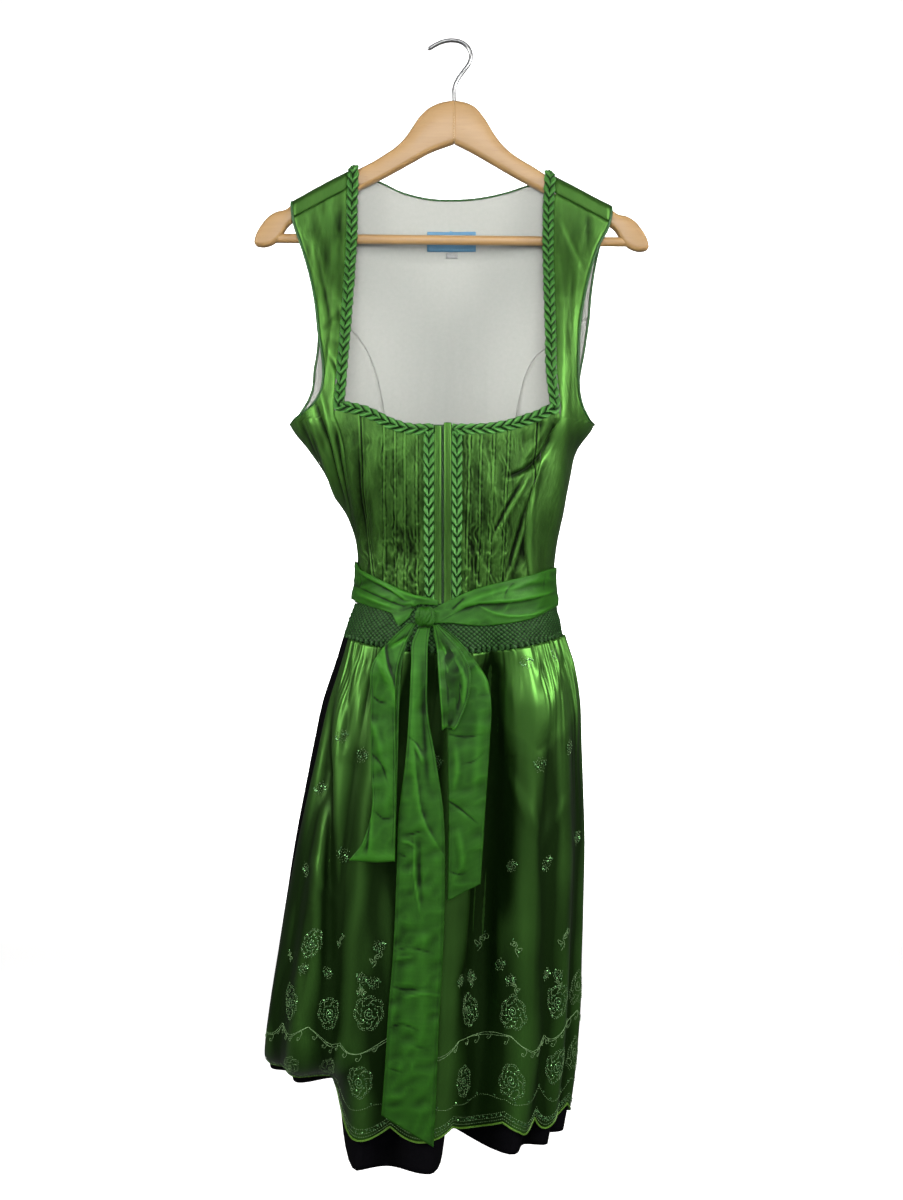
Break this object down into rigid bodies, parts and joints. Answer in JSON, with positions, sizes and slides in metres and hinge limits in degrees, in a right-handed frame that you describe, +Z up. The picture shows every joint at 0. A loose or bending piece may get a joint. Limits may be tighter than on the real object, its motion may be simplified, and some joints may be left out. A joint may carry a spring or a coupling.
{
  "type": "dirndl dress on a coat hanger",
  "caption": "Sleeveless square-neck dress with an embroidered apron tied in a bow, hung on a wooden coat hanger with a trouser bar.",
  "frame": {"origin": "underside of the hook's top bend, where the rail carries the hanger", "axes": "+Z up along the hanging dress; the dress's front faces -Y; +X is the viewer's right, the wearer's left"},
  "size_m": [0.446, 0.3387, 1.2405],
  "materials": {
    "satin_green": "satin",
    "band_green": "satin, smocked",
    "apron_green": "satin with embroidery and sequins",
    "taffeta_green": "matte taffeta",
    "trim_green": "satin, gathered",
    "piping_green": "matte",
    "lining_white": "matte cotton",
    "skirt_black": "matte",
    "beech": "clear varnish",
    "chrome": "polished",
    "label_blue": "woven",
    "tab_white": "woven"
  },
  "bodies": {
    "root": {"apron": "apron_green", "apron_waistband": "band_green", "armhole_piping_left": "piping_green", "armhole_piping_right": "piping_green", "back_panel": "satin_green", "back_side_left": "satin_green", "back_side_right": "satin_green", "bow_knot": "taffeta_green", "bow_loop_left": "taffeta_green", "bow_loop_right": "taffeta_green", "front_panel_left": "satin_green", "front_panel_right": "satin_green", "front_side_left": "satin_green", "front_side_right": "satin_green", "hanger_arm_left": "beech", "hanger_arm_right": "beech", "hanger_bar": "beech", "hanger_hook": "chrome", "label": "label_blue", "lining_panel": "lining_white", "lining_side_left": "lining_white", "lining_side_right": "lining_white", "neck_piping_back": "piping_green", "sash_back": "taffeta_green", "sash_left": "taffeta_green", "sash_right": "taffeta_green", "size_tab": "tab_white", "skirt_back": "skirt_black", "skirt_front": "skirt_black", "tail_centre": "taffeta_green", "tail_right": "taffeta_green", "trim_front_left": "trim_green", "trim_front_right": "trim_green", "trim_neck_left": "trim_green", "trim_neck_right": "trim_green", "trim_strap_left": "trim_green", "trim_strap_right": "trim_green", "welt_left": "satin_green", "welt_right": "satin_green", "zip_tape": "piping_green"}
  },
  "joints": []
}
